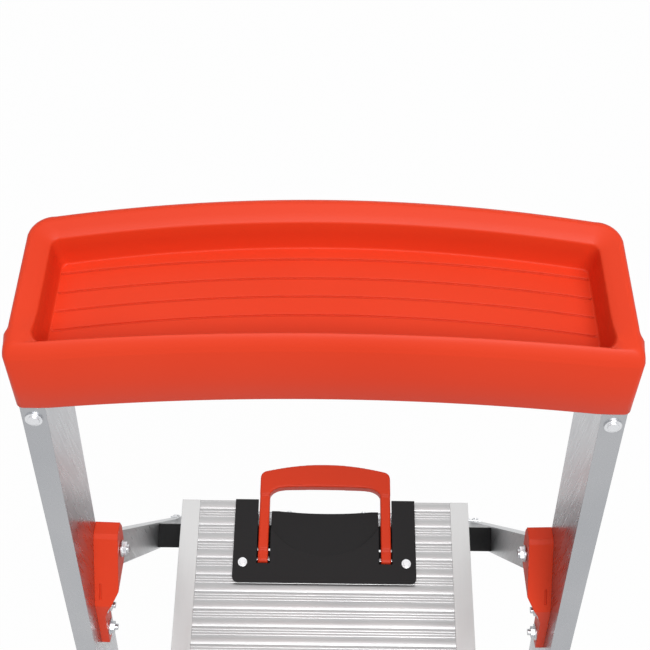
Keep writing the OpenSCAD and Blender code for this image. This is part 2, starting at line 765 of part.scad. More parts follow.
module rear_foot() {
    w = foot_wall;
    g = tray_socket_gap;
    long = 120;
    start = hinge_height / cos(rear_lean) / cos(rear_splay);
    difference() {
        on_rear_rail(start + long / 2) translate([-w, -rear_depth / 2 - w, 0])
            cube([rear_flange + 2 * w, rear_depth + 2 * w, long / 2 + foot_h]);
        below(0);
        difference() {
            on_rear_rail(start + long) translate([-g, -rear_depth / 2 - g, 0])
                difference() {
                    cube([rear_flange + 2 * g, rear_depth + 2 * g, long + 200]);
                    translate([rail_wall + 2 * g, rail_wall + 2 * g, -1])
                        cube([rear_flange, rear_depth - 2 * rail_wall - 2 * g, long + 300]);
                }
            below(foot_sole);
        }
        rear_foot_rivet_place() bar_x(-40, 40, rivet_r + hole_gap);
    }
}
module rear_foot_left() color("dimgray") mirror([1, 0, 0]) rear_foot();
module rear_foot_right() color("dimgray") rear_foot();
module rear_foot_rivets() color("gainsboro") both_sides() rear_foot_rivet_place()
    translate([rear_flange + foot_wall, 0, 0]) rivet(rear_flange + 2 * foot_wall, rivet_r, 5);

// ---------- deck ----------

deck_front = deck_back - deck_d;
nosing_d = 8;
notch_half = slot_gap / 2 + slot_w / 2 + 2;

// Side bar: smooth top, outer wall, inner wall with a ledge under the panel
module deck_side() {
    out = deck_w / 2;
    in = out - side_bar_w;
    wall = 2.5;
    difference() {
        translate([0, deck_back, deck_h]) rotate([90, 0, 0]) linear_extrude(deck_d - nosing_d) {
            translate([in, -wall]) square([side_bar_w, wall]);
            translate([out - wall, -deck_t]) square([wall, deck_t]);
            translate([in, -deck_t]) square([wall, deck_t]);
            translate([in - ledge_w, -deck_skin - 0.2 - wall]) square([ledge_w + 1, wall]);
        }
        translate([0, notch_y, deck_h - 100]) cube([300, 400, 100 - bar_notch_t]);
        translate([0, deck_hinge_y, deck_hinge_z]) bar_x(0, 400, rod_r + 0.06);
        hook_rivet_places() bar_x(-40, 10, rivet_r + hole_gap);
    }
}
module deck_side_left() color("silver") mirror([1, 0, 0]) deck_side();
module deck_side_right() color("silver") deck_side();

// Ribbed panel: each pitch has a raised band, a groove and two low ribs
module deck_panel() color("lightgray") difference() {
    union() {
        translate([-panel_w / 2 + 0.1, 0, 0]) rotate([90, 0, 90])
            linear_extrude(panel_w - 0.2) panel_profile();
        translate([-panel_w / 2 + ledge_w + 2, deck_front + nosing_d + 0.2, deck_h - 20])
            cube([panel_w - 2 * ledge_w - 4, 2.5, 18]);
    }
    // notch under the black plate
    translate([-notch_half, slot_front - 3, deck_h - 50]) cube([2 * notch_half, 400, 100]);
    latch_rivet_places() cylinder(h = 40, r = rivet_r + hole_gap, center = true);
}

module panel_profile() {
    skin = deck_skin;
    y0 = deck_front + nosing_d + 0.2;
    depth = deck_back - y0;
    count = floor(depth / rib_pitch);
    low = 1.4;
    translate([y0, deck_h - skin]) square([depth, skin - low]);
    for (i = [0:count]) {
        y = deck_back - i * rib_pitch;
        band(max(y - 8, y0), y, low);
        if (y - 18.6 > y0) band(y - 18.6, y - 9.6, low - 0.5);
    }
}

module band(from, to, h) {
    translate([from, deck_h - 1.45]) square([max(to - from, 0.5), h + 0.05]);
}

module deck_nosing() color("silver") {
    translate([-deck_w / 2, deck_front + nosing_d, 0])
        rotate([90, 0, 90]) linear_extrude(deck_w) difference() {
        union() {
            translate([0, deck_h - nosing_d]) circle(r = nosing_d);
            translate([-nosing_d, deck_h - deck_t + 4]) square([nosing_d, deck_t - nosing_d - 4]);
        }
        translate([0, deck_h - deck_t - 10]) square([50, 80]);
        translate([-nosing_d + 2.5, deck_h - deck_t - 2]) square([20, deck_t - nosing_d + 1]);
    }
}

// Two channels under the panel
plate_rivet_in = 12;
stiffener_w = 0.0896 * panel_w;
stiffener_x = plate_w / 2 - plate_rivet_in + 4.5;
stiffener_h = 15;
stiffener_t = 2.2;
stiffener_z = deck_h - deck_skin - 0.1 - stiffener_h;
module deck_stiffeners() color("silver") difference() {
    both_sides() translate([stiffener_x - stiffener_w / 2, deck_front + nosing_d + 3, stiffener_z])
        difference() {
            cube([stiffener_w, notch_y - deck_front - nosing_d - 8, stiffener_h]);
            translate([stiffener_t, -1, -1])
                cube([stiffener_w - 2 * stiffener_t, 600, stiffener_h - stiffener_t + 1]);
        }
    latch_rivet_places() cylinder(h = 60, r = rivet_r + hole_gap, center = true);
    translate([0, deck_hinge_y, deck_hinge_z]) bar_x(-300, 300, rod_r + gap);
}

// ---------- latch plate, handle ----------

plate_front = deck_back - plate_d;
tongue_half = slot_gap / 2 - slot_w / 2;
scoop_depth = 60;
scoop_r = 79;
scoop_tilt = 9;
tongue_back = deck_back - 12;
tongue_r = 560;
tongue_hollow = 3;
pocket_d = 22;
module latch_rivet_places() {
    for (side = [-1, 1]) translate([side * (plate_w / 2 - plate_rivet_in), plate_front + 24, deck_h])
        children();
}

module latch_plate() color("#262626") difference() {
    union() {
        translate([0, 0, deck_h + 0.1]) linear_extrude(plate_t - 0.1) plate_outline();
        // skirts around the hand notch, carrying the pins
        both_sides() translate([tongue_half - 3, slot_front - 2, deck_h - 14]) cube([3, 66, 15]);
        both_sides() translate([slot_gap / 2 + slot_w / 2, slot_front - 2, deck_h - 14]) cube([1.8, 66, 15]);
        both_sides() translate([tongue_half - 3, slot_front - 2, deck_h - 14]) cube([slot_w + 4.8, 2, 15]);
        // floors of the pockets that hold the pins
        both_sides() translate([tongue_half - 3, slot_front - 2, deck_h - 14])
            cube([slot_w + 4.8, pocket_d, 2]);
        // block of the finger scoop
        translate([-tongue_half, slot_front - 2, deck_h - 10])
            cube([2 * tongue_half, tongue_back - slot_front + 2, 10.2]);
    }
    both_sides() translate([slot_gap / 2 - slot_w / 2, slot_front, deck_h - 12]) cube([slot_w, 200, 100]);
    // finger scoop, deepest at the tongue's back edge
    translate([0, tongue_back - scoop_depth, deck_h + plate_t]) rotate([-scoop_tilt, 0, 0])
        translate([0, scoop_r, 0]) cylinder(h = 30, r = scoop_r, $fn = 96);
    // hollow of the tongue's back edge
    intersection() {
        translate([0, tongue_back + tongue_r - tongue_hollow, deck_h - 20])
            cylinder(h = 60, r = tongue_r, $fn = 96);
        translate([-tongue_half, 0, 0]) cube([2 * tongue_half, 400, 2000]);
    }
    translate([0, pin_y, pin_z]) bar_x(-200, 200, pin_r + hole_gap);
    latch_rivet_places() cylinder(h = 40, r = rivet_r + hole_gap, center = true);
}

module plate_outline() {
    r = 7;
    difference() {
        union() {
            translate([-plate_w / 2, plate_front + r]) square([plate_w, plate_d - r]);
            translate([-plate_w / 2 + r, plate_front]) square([plate_w - 2 * r, r + 1]);
            for (side = [-1, 1]) translate([side * (plate_w / 2 - r), plate_front + r]) circle(r = r);
        }
        translate([-tongue_half, tongue_back]) square([2 * tongue_half, 40]);
    }
}

module latch_rivets() color("gainsboro") latch_rivet_places()
    translate([0, 0, plate_t]) rotate([0, -90, 0])
        rivet(plate_t + deck_skin + 0.1 + stiffener_t, rivet_r, 5.6);

// Steel hooks behind the crossbar, riveted inside the side bars
hook_y = crossbar_y + crossbar_size * 0.64 + 2;
module hook_rivet_places() translate([deck_w / 2, deck_back - 7, deck_h - 8]) children();
module latch_hooks() color("gainsboro") both_sides() difference() {
    union() {
        translate([deck_w / 2 - 2.5 - 3.2, hook_y, deck_h - 13.5]) cube([3, deck_back - hook_y - 1, 10.5]);
        translate([deck_w / 2 - 2.5 - 3.2, hook_y, deck_h - 40]) cube([3, 12, 37]);
        translate([deck_w / 2 - 2.5 - 13.2, hook_y, deck_h - 40]) cube([13, 3, 24]);
    }
    hook_rivet_places() bar_x(-40, 10, rivet_r + hole_gap);
}

module handle_pins() color("gainsboro") both_sides() translate([0, pin_y, pin_z])
    bar_x(tongue_half - 6, slot_gap / 2 + slot_w / 2 + 1.7, pin_r);

// Coil of each return spring, beside the leg on its pin
module handle_spring() {
    coil_r = 0.7;
    translate([slot_gap / 2 - slot_w / 2 + 0.9, pin_y, pin_z]) rotate([0, 90, 0])
        union() {
            rotate_extrude() translate([pin_r + 0.1, -0.7]) square([0.5, 1.5]);
            rotate_extrude() translate([pin_r + 0.1 + coil_r, 0]) circle(r = coil_r, $fn = 16);
        }
}
module handle_spring_left() color("gainsboro") mirror([1, 0, 0]) handle_spring();
module handle_spring_right() color("gainsboro") handle_spring();

// Flip handle: two legs and a bowed grip
handle_half = slot_gap / 2 + leg_w / 2 + 0.6;
leg_x = slot_gap / 2 - leg_w / 2 + 1;
module handle() color("orangered") difference() {
    union() {
        both_sides() translate([leg_x, pin_y, pin_z]) bar_x(0, leg_w - 0.6, leg_t / 2);
        both_sides() translate([leg_x, pin_y, pin_z - leg_t / 2]) cube([leg_w - 0.6, handle_l - 30, leg_t]);
        both_sides() translate([leg_x, pin_y + 12, pin_z - leg_t / 2])
            cube([leg_w - 0.6, handle_l - 42, leg_t + 2]);
        translate([0, 0, pin_z - leg_t / 2]) linear_extrude(leg_t + 4) grip_outline();
    }
    translate([0, pin_y, pin_z]) bar_x(-200, 200, pin_r + 0.06);
}

// Bowed grip in plan
function grip_bow(x) = 1.6 * (1 - pow(x / leg_x, 2));
module grip_outline() {
    y0 = pin_y + handle_l - 34;
    y1 = pin_y + handle_l;
    r = 9;
    polygon(concat(
        [[-handle_half, y0 - 6], [-leg_x, y0 - 6]],
        [for (i = [0:24]) let (x = -leg_x * cos(7.5 * i))
            [x, y0 - 6 + 9 * (1 - pow(x / leg_x, 12)) + grip_bow(x)]],
        [[leg_x, y0 - 6], [handle_half, y0 - 6]],
        arc_points([handle_half - r, y1 - 9 - r], r, 0, 78, 6),
        [for (i = [1:11]) let (x = (handle_half - r) * (1 - i / 6))
            [x, y1 - 9 * pow(x / (handle_half - r), 2)]],
        arc_points([-handle_half + r, y1 - 9 - r], r, 102, 180, 6)));
}

front_rail_left();
front_rail_right();
tool_tray();
tray_rivets();
hinge_bracket_left();
hinge_bracket_right();
bracket_bolts();
bracket_nuts();
hinge_bolt_left();
hinge_bolt_right();
hinge_nuts();
upper_tread();
lower_tread();
tread_rivets();
tread_brace_left();
tread_brace_right();
tread_brace_rivets();
front_foot_left();
front_foot_right();
front_foot_rivets();
deck_hinge_rod();
rod_spacer_left();
rod_spacer_right();
rod_nuts();
rear_rail_left();
rear_rail_right();
hinge_bush_left();
hinge_bush_right();
crossbar();
crossbar_rivets();
deck_rest_pads();
rear_brace_upper();
rear_brace_lower();
rear_diagonal_left();
rear_diagonal_right();
rear_brace_rivets();
rear_foot_left();
rear_foot_right();
rear_foot_rivets();
deck_panel();
deck_side_left();
deck_side_right();
deck_nosing();
deck_stiffeners();
latch_plate();
latch_rivets();
latch_hooks();
handle_pins();
handle_spring_left();
handle_spring_right();
handle();
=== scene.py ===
import math

import bmesh
import bpy
from mathutils import Matrix, Vector
from mathutils.geometry import delaunay_2d_cdt


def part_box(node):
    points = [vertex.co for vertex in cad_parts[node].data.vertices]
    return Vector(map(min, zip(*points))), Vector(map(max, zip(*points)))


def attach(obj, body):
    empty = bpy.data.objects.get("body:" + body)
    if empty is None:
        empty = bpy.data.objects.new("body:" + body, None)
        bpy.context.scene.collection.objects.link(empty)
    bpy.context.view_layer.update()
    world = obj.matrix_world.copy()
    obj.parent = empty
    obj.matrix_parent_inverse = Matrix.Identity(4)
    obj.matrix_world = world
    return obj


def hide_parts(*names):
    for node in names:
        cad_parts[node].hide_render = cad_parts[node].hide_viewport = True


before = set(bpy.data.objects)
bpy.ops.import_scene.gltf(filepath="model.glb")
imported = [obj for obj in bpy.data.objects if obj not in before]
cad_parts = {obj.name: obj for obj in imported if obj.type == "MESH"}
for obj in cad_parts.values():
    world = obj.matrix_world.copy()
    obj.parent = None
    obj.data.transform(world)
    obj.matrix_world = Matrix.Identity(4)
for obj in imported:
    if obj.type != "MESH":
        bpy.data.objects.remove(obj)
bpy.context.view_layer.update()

# ---- Camera ----
# A climber's look down on the tool tray and the deck, from above and in front of the ladder.
# The angles and the distance keep the tray across the whole picture.
def add_object(name, data):
    """New object around this data, linked into the scene."""
    made = bpy.data.objects.new(name, data)
    bpy.context.scene.collection.objects.link(made)
    return made


look_down = math.radians(61.708)
look_aside = math.radians(-0.7187)
eye = Vector((0.00534, -0.29598, 2.16919))
lens_mm = 58.92
ahead = Vector((
    math.sin(look_aside) * math.cos(look_down),
    math.cos(look_aside) * math.cos(look_down),
    -math.sin(look_down)))
across = ahead.cross(Vector((0, 0, 1))).normalized()
upward = across.cross(ahead)
lens = bpy.data.cameras.new("camera")
lens.sensor_width = 36
lens.lens = lens_mm
lens.clip_end = 100
camera = add_object("camera", lens)
camera_axes = Matrix((across, upward, -ahead)).transposed()
camera.matrix_world = Matrix.Translation(eye) @ camera_axes.to_4x4()
bpy.context.scene.camera = camera
bpy.context.scene.view_settings.view_transform = "Standard"

# ---- Room: pale floor, white surroundings, soft lamps ----
# A wide pale floor takes the ladder's shadow, and the surroundings show white to the camera and
# in the metal. Three wide lamps give a plain, soft light.
def white_rays(tree):
    """1 for camera, transmission and glossy rays, 0 for the light that falls on the object."""
    light_path = tree.nodes.new("ShaderNodeLightPath")
    value = light_path.outputs["Is Camera Ray"]
    for kind in ("Is Transmission Ray", "Is Glossy Ray"):
        either = tree.nodes.new("ShaderNodeMath")
        either.operation = "MAXIMUM"
        tree.links.new(value, either.inputs[0])
        tree.links.new(light_path.outputs[kind], either.inputs[1])
        value = either.outputs[0]
    return value


soft_sky_strength = 0.36
floor_glow_share = 0.975
floor_reach = 9
world = bpy.data.worlds.new("room")
bpy.context.scene.world = world
world.use_nodes = True
sky = world.node_tree
sky.nodes.clear()
seen = white_rays(sky)
soft_sky = sky.nodes.new("ShaderNodeBackground")
soft_sky.inputs["Color"].default_value = (0.93, 0.95, 1.0, 1)
soft_sky.inputs["Strength"].default_value = soft_sky_strength
white_sky = sky.nodes.new("ShaderNodeBackground")
white_sky.inputs["Color"].default_value = (1, 1, 1, 1)
white_sky.inputs["Strength"].default_value = 1.0
sky_mix = sky.nodes.new("ShaderNodeMixShader")
sky.links.new(seen, sky_mix.inputs["Fac"])
sky.links.new(soft_sky.outputs[0], sky_mix.inputs[1])
sky.links.new(white_sky.outputs[0], sky_mix.inputs[2])
sky_out = sky.nodes.new("ShaderNodeOutputWorld")
sky.links.new(sky_mix.outputs[0], sky_out.inputs["Surface"])

floor_mesh = bpy.data.meshes.new("floor")
floor_corners = [
    (x * floor_reach, y * floor_reach, 0) for x, y in ((-1, -1), (1, -1), (1, 1), (-1, 1))]
floor_mesh.from_pydata(floor_corners, [], [(0, 1, 2, 3)])
floor = add_object("floor", floor_mesh)
floor_finish = bpy.data.materials.new("floor_white")
floor_finish.use_nodes = True
tree = floor_finish.node_tree
tree.nodes.clear()
glow = tree.nodes.new("ShaderNodeEmission")
glow.inputs["Strength"].default_value = 1.0
matte = tree.nodes.new("ShaderNodeBsdfDiffuse")
matte.inputs["Color"].default_value = (0.82, 0.82, 0.83, 1)
share = tree.nodes.new("ShaderNodeMath")
share.operation = "MULTIPLY"
share.inputs[1].default_value = floor_glow_share
tree.links.new(white_rays(tree), share.inputs[0])
mix = tree.nodes.new("ShaderNodeMixShader")
tree.links.new(share.outputs[0], mix.inputs["Fac"])
tree.links.new(matte.outputs[0], mix.inputs[1])
tree.links.new(glow.outputs[0], mix.inputs[2])
out = tree.nodes.new("ShaderNodeOutputMaterial")
tree.links.new(mix.outputs[0], out.inputs["Surface"])
floor_mesh.materials.append(floor_finish)


def lamp(name, place, target, size, watts):
    light = bpy.data.lights.new(name, "AREA")
    light.size = size
    light.energy = watts
    holder = add_object(name, light)
    way = (Vector(place) - Vector(target)).to_track_quat("Z", "Y")
    holder.matrix_world = Matrix.Translation(place) @ way.to_matrix().to_4x4()


lamp("lamp_overhead", (-0.4, 0.4, 3.8), (0, 0, 1.2), 2.2, 6)
lamp("lamp_front", (0.5, -1.15, 3.8), (0, 0, 1.2), 1.8, 66)
lamp("lamp_back", (0.2, 3.2, 2.0), (0, 0, 0.8), 2.2, 14)


# ---- Front rails ----
# Two extruded aluminium channels, webs inward and flanges outward, satin as they leave the die.
# Fine drawing lines run down each rail, and handling leaves faint patches.
noise_span = (0.3, 0.7)


def new_finish(name, colour, rough, metallic=0.0, specular=0.5):
    """Material with constants on its own shader sockets."""
    finish = bpy.data.materials.new(name)
    finish.use_nodes = True
    shader = finish.node_tree.nodes["Principled BSDF"]
    shader.inputs["Base Color"].default_value = (*colour, 1)
    shader.inputs["Roughness"].default_value = rough
    shader.inputs["Metallic"].default_value = metallic
    shader.inputs["Specular IOR Level"].default_value = specular
    return finish


def grain(finish, scale, stretch=(1, 1, 1), detail=3.0):
    """Noise on object coordinates; a small stretch value draws it out along that axis."""
    nodes, links = finish.node_tree.nodes, finish.node_tree.links
    place = nodes.new("ShaderNodeTexCoord")
    mapping = nodes.new("ShaderNodeMapping")
    mapping.inputs["Scale"].default_value = stretch
    noise = nodes.new("ShaderNodeTexNoise")
    noise.inputs["Scale"].default_value = scale
    noise.inputs["Detail"].default_value = detail
    links.new(place.outputs["Object"], mapping.inputs["Vector"])
    links.new(mapping.outputs["Vector"], noise.inputs["Vector"])
    return noise.outputs["Fac"]


def vary(finish, fac, socket, low, high):
    """Let a pattern move one value of the shader between low and high."""
    nodes, links = finish.node_tree.nodes, finish.node_tree.links
    remap = nodes.new("ShaderNodeMapRange")
    remap.inputs["From Min"].default_value = noise_span[0]
    remap.inputs["From Max"].default_value = noise_span[1]
    remap.inputs["To Min"].default_value = low
    remap.inputs["To Max"].default_value = high
    links.new(fac, remap.inputs["Value"])
    links.new(remap.outputs["Result"], nodes["Principled BSDF"].inputs[socket])


def tint(finish, fac, dark, light):
    """Let a pattern blend two colours."""
    nodes, links = finish.node_tree.nodes, finish.node_tree.links
    ramp = nodes.new("ShaderNodeValToRGB")
    ramp.color_ramp.elements[0].position = noise_span[0]
    ramp.color_ramp.elements[0].color = (*dark, 1)
    ramp.color_ramp.elements[1].position = noise_span[1]
    ramp.color_ramp.elements[1].color = (*light, 1)
    links.new(fac, ramp.inputs["Fac"])
    links.new(ramp.outputs["Color"], nodes["Principled BSDF"].inputs["Base Color"])


def relief(finish, fac, depth, edge=0.0):
    """Surface bump of this depth, over edges rounded to this radius."""
    nodes, links = finish.node_tree.nodes, finish.node_tree.links
    bump = nodes.new("ShaderNodeBump")
    bump.inputs["Strength"].default_value = 1.0
    bump.inputs["Distance"].default_value = depth
    links.new(fac, bump.inputs["Height"])
    if edge:
        soften = nodes.new("ShaderNodeBevel")
        soften.samples = 6
        soften.inputs["Radius"].default_value = edge
        links.new(soften.outputs["Normal"], bump.inputs["Normal"])
    links.new(bump.outputs["Normal"], nodes["Principled BSDF"].inputs["Normal"])


def wear(finish, *node_names):
    """Put one finish on these CAD nodes."""
    for node_name in node_names:
        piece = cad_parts[node_name]
        piece.data.materials.clear()
        piece.data.materials.append(finish)


drawn_aluminium = new_finish("drawn_aluminium", (0.44, 0.45, 0.47), 0.3, 1.0)
lines = grain(drawn_aluminium, 90, (6, 6, 0.12), 4.0)
patches = grain(drawn_aluminium, 7)
tint(drawn_aluminium, patches, (0.41, 0.42, 0.44), (0.47, 0.475, 0.49))
vary(drawn_aluminium, lines, "Roughness", 0.25, 0.34)
relief(drawn_aluminium, lines, 0.00001, 0.0007)
wear(drawn_aluminium, "front_rail_left", "front_rail_right")

# ---- Rivets ----
# Aluminium blind rivets with a bright domed head, the same kind all over the ladder. They hold the
# tray, treads, braces, feet, crossbar and latch plate.
rivet_finish = new_finish("rivet_aluminium", (0.74, 0.75, 0.77), 0.3, 1.0)
tool_marks = grain(rivet_finish, 420)
vary(rivet_finish, tool_marks, "Roughness", 0.22, 0.42)
relief(rivet_finish, tool_marks, 0.00002, 0.0009)
wear(rivet_finish, "tray_rivets", "tread_rivets", "tread_brace_rivets", "front_foot_rivets",
     "crossbar_rivets", "rear_brace_rivets", "rear_foot_rivets", "latch_rivets")

# ---- Treads and their braces ----
# Extruded aluminium steps with ribbed tops, riveted to the rails' webs through their end plates.
# Two bent straps run from under the lower tread down to the webs.
tread_finish = new_finish("tread_aluminium", (0.55, 0.55, 0.56), 0.34, 1.0)
rolled = grain(tread_finish, 70, (0.15, 7, 7), 4.0)
vary(tread_finish, rolled, "Roughness", 0.3, 0.46)
relief(tread_finish, rolled, 0.00001, 0.0005)
wear(tread_finish, "upper_tread", "lower_tread", "tread_brace_left", "tread_brace_right")

# ---- Feet ----
# Moulded rubber shoes pushed over the four rail ends and riveted there. They are matt, with a
# fine pebble from the mould.
rubber = new_finish("foot_rubber", (0.028, 0.028, 0.03), 0.7)
pebble = grain(rubber, 900, detail=1.0)
vary(rubber, pebble, "Roughness", 0.6, 0.82)
relief(rubber, pebble, 0.00015, 0.002)
wear(rubber, "front_foot_left", "front_foot_right", "rear_foot_left", "rear_foot_right")

# ---- Tool tray ----
# One orange moulding pushed over the rail tops and riveted through their flanges. Its bowl has a
# funnelled rim, upright walls and a floor with four shallow grooves that follow its bowed back,
# and it is hollow underneath, where the rails enter it.
orange = new_finish("orange_polypropylene", (0.85, 0.045, 0.014), 0.4, specular=0.2)
skin = grain(orange, 1400, detail=2.0)
flow = grain(orange, 5, detail=2.0)
tint(orange, flow, (0.71, 0.045, 0.012), (0.75, 0.052, 0.015))
vary(orange, skin, "Roughness", 0.36, 0.48)
relief(orange, skin, 0.00003, 0.0012)

tray_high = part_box("tool_tray")[1]
tray_height = 0.061
tray_base = tray_high.z - tray_height
tray_y = 0.014142  # middle of the front rails' front faces at the tray's lower edge
lean = math.tan(math.radians(16.5))
half_width = 0.2216
front_offset = 0.00313
bowl_floor = 0.027


def front_bow(x):
    """How far the front edge is bowed back towards the tray's middle."""
    return 0.0095 * max(0.0, 1 - (x / 0.2) ** 2)


def back_line(x):
    """Outer back edge, bowed away from the climber."""
    return 0.1223 + 0.0218 * (1 - (x / half_width) ** 2)


def side_edge(y, bulge):
    """Outer side edge: tapered to the back, with a step out in front where it covers the rail."""
    tapered = 0.219 - 0.0026 * (y - 0.033) / 0.071
    step = min(1.0, max(0.0, (0.0345 - y) / 0.005))
    return tapered + bulge * (half_width - tapered) * step * step * (3 - 2 * step)


def tray_ring(side, back, front, z_side, z_front, bulge=0.0):
    """Closed outline of the tray at one step of its wall, from its insets and heights."""
    right = []
    nose = 0.005 + 0.55 * max(0.0, side - 0.012)
    turn = max(0.004, 0.0195 - 0.7 * side)
    x_nose = side_edge(front + nose, bulge) - side - nose
    for i in range(23):
        x = x_nose * i / 22
        right.append((x, front + front_bow(x), z_front))
    for i in range(1, 6):
        a = math.radians(-90 + 90 * i / 6)
        right.append((x_nose + nose * math.cos(a), front + nose + nose * math.sin(a), z_front))
    x_turn = 0.2164 - side - turn
    y_turn = back_line(x_turn) - back - turn
    y_start = front + nose
    for i in range(25):
        y = y_start + (y_turn - y_start) * (i / 24) ** 1.5
        share = min(1.0, max(0.0, (y - y_start) / 0.02))
        share = share * share * (3 - 2 * share)
        x = side_edge(y, bulge) - side
        right.append((x, y, z_front + (z_side - z_front) * share))
    for i in range(1, 10):
        a = math.radians(90 * i / 10)
        right.append((x_turn + turn * math.cos(a), y_turn + turn * math.sin(a), z_side))
    for i in range(18):
        x = x_turn * (1 - i / 17)
        right.append((x, back_line(x) - back, z_side))
    left = [(-x, y, z) for x, y, z in reversed(right[1:-1])]
    return [Vector((x, y + tray_y, z + tray_base)) for x, y, z in right + left]


def outer_front(z, thick=0.0):
    """Leaning front face at this height, or a surface this far inside it."""
    return z * lean - front_offset + thick


rim_y = outer_front(tray_height)
steps = [
    # side inset, back inset, front edge, height at sides, height at front, bulge beside the rails
    (0.0014, 0.0028, outer_front(0.0025, 0.0029), 0.0025, 0.0025, 1),
    (0.0004, 0.0004, outer_front(0.0025, 0.0004), 0.0025, 0.0025, 1),
    (0.0, 0.0, outer_front(0.0033), 0.0033, 0.0033, 1),
    (0.0, 0.0, outer_front(0.025), 0.025, 0.025, 1),
    (0.0, 0.0, outer_front(0.0505), 0.0545, 0.0505, 1),
    (0.0001, 0.0001, outer_front(0.0512, 0.0003), 0.0562, 0.0512, 1),
    (0.0005, 0.0005, outer_front(0.0535, 0.0009), 0.0578, 0.0535, 1),
    (0.0012, 0.0012, outer_front(0.056, 0.002), 0.0592, 0.056, 1),
    (0.0022, 0.0022, outer_front(0.0582, 0.0034), 0.0602, 0.0582, 0.9),
    (0.0034, 0.0034, outer_front(0.0598, 0.0046), 0.0608, 0.0598, 0.6),
    (0.0048, 0.0048, rim_y + 0.0056, 0.061, 0.0607, 0.2),
    (0.0062, 0.0062, rim_y + 0.0062, 0.0606, 0.061, 0),
    (0.0118, 0.0122, rim_y + 0.0066, 0.0586, 0.0608, 0),
    (0.0172, 0.0181, rim_y + 0.0070, 0.0566, 0.0602, 0),
    (0.0180, 0.0190, rim_y + 0.0074, 0.0560, 0.0592, 0),
    (0.0184, 0.0195, rim_y + 0.0078, 0.0548, 0.0575, 0),
    (0.0190, 0.0208, rim_y + 0.0084, 0.044, 0.044, 0),
    (0.0198, 0.0222, rim_y + 0.0092, 0.0285, 0.0285, 0),
    (0.0202, 0.0226, rim_y + 0.0097, 0.0275, 0.0275, 0),
    (0.0208, 0.0232, rim_y + 0.0104, bowl_floor, bowl_floor, 0)]
hollow = [
    (0.0014, 0.0028, outer_front(0.01, 0.0029), 0.01, 0.01, 1),
    (0.0014, 0.0028, outer_front(0.045, 0.0029), 0.05, 0.045, 1),
    (0.004, 0.005, outer_front(0.05, 0.0042), 0.056, 0.05, 0.5),
    (0.0150, 0.0155, rim_y + 0.0046, 0.0540, 0.0540, 0),
    (0.0164, 0.0168, rim_y + 0.0052, 0.0525, 0.0525, 0),
    (0.0172, 0.0192, rim_y + 0.0066, 0.024, 0.024, 0)]
tray_mesh = bmesh.new()
rings = [[tray_mesh.verts.new(p) for p in tray_ring(*step)] for step in steps]
under = [[tray_mesh.verts.new(p) for p in tray_ring(*step)] for step in hollow]
wall_bands = list(zip(rings, rings[1:])) + [(under[0], rings[0])] + list(zip(under[1:], under))
for lower, upper in wall_bands:
    for i in range(len(lower)):
        j = (i + 1) % len(lower)
        tray_mesh.faces.new((lower[i], lower[j], upper[j], upper[i]))
tray_mesh.faces.new(list(reversed(under[-1])))

# floor of the bowl, cut along its four grooves
edge_points = [v.co.xy for v in rings[-1]]
flat_points = list(edge_points)
flat_lines = [(i, (i + 1) % len(edge_points)) for i in range(len(edge_points))]
groove_side = 0.1955
groove_depth = 0.0014
groove_bow = 0.0158
groove_bow_half = 0.199
groove_points = 41
groove_edges = (-0.0008, -0.0005, 0.0005, 0.0008)
for groove_y in (0.1113, 0.0949, 0.0793, 0.0636):
    for offset in groove_edges:
        start = len(flat_points)
        for i in range(groove_points):
            x = groove_side * (2 * i / (groove_points - 1) - 1)
            y = groove_y + offset - groove_bow * (x / groove_bow_half) ** 2
            flat_points.append(Vector((x, y + tray_y)))
        flat_lines += [(start + i, start + i + 1) for i in range(groove_points - 1)]
flat = delaunay_2d_cdt(flat_points, flat_lines, [list(range(len(edge_points)))], 1, 1e-7)
floor_verts = []
for point, sources in zip(flat[0], flat[3]):
    rim_source = [s for s in sources if s < len(edge_points)]
    if rim_source:
        floor_verts.append(rings[-1][rim_source[0]])
        continue
    line = (sources[0] - len(edge_points)) // groove_points if sources else 0
    band = line % len(groove_edges)
    sunk = groove_depth if band in (1, 2) else 0.0
    floor_verts.append(tray_mesh.verts.new((point.x, point.y, tray_base + bowl_floor - sunk)))
for face in flat[2]:
    corner = [floor_verts[i] for i in face]
    if len(set(corner)) == 3:
        tray_mesh.faces.new(corner)
bmesh.ops.recalc_face_normals(tray_mesh, faces=tray_mesh.faces)
tray_data = bpy.data.meshes.new("tray_shell")
tray_mesh.to_mesh(tray_data)
tray_mesh.free()
tray_data.shade_smooth()
tray_data.set_sharp_from_angle(angle=math.radians(38))
tray_data.materials.append(orange)
tray_shell = add_object("tray_shell", tray_data)
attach(tray_shell, "front_frame")
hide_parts("tool_tray")

# ---- Hinge brackets, bolts and nuts ----
# Orange wedge mouldings, one bolted to the web of each front rail. The rear rails turn in them on
# zinc-plated bolts with nuts. The deck's rod and hooks and the handle's pins are plated the same.
wear(orange, "hinge_bracket_left", "hinge_bracket_right")
zinc = new_finish("zinc_steel", (0.7, 0.71, 0.74), 0.28, 1.0)
spangle = grain(zinc, 260)
tint(zinc, spangle, (0.46, 0.47, 0.5), (0.6, 0.61, 0.62))
vary(zinc, spangle, "Roughness", 0.2, 0.4)
relief(zinc, spangle, 0.00001, 0.0006)
wear(zinc, "bracket_bolts", "bracket_nuts", "hinge_bolt_left", "hinge_bolt_right", "hinge_nuts",
     "deck_hinge_rod", "rod_nuts", "latch_hooks", "handle_pins")

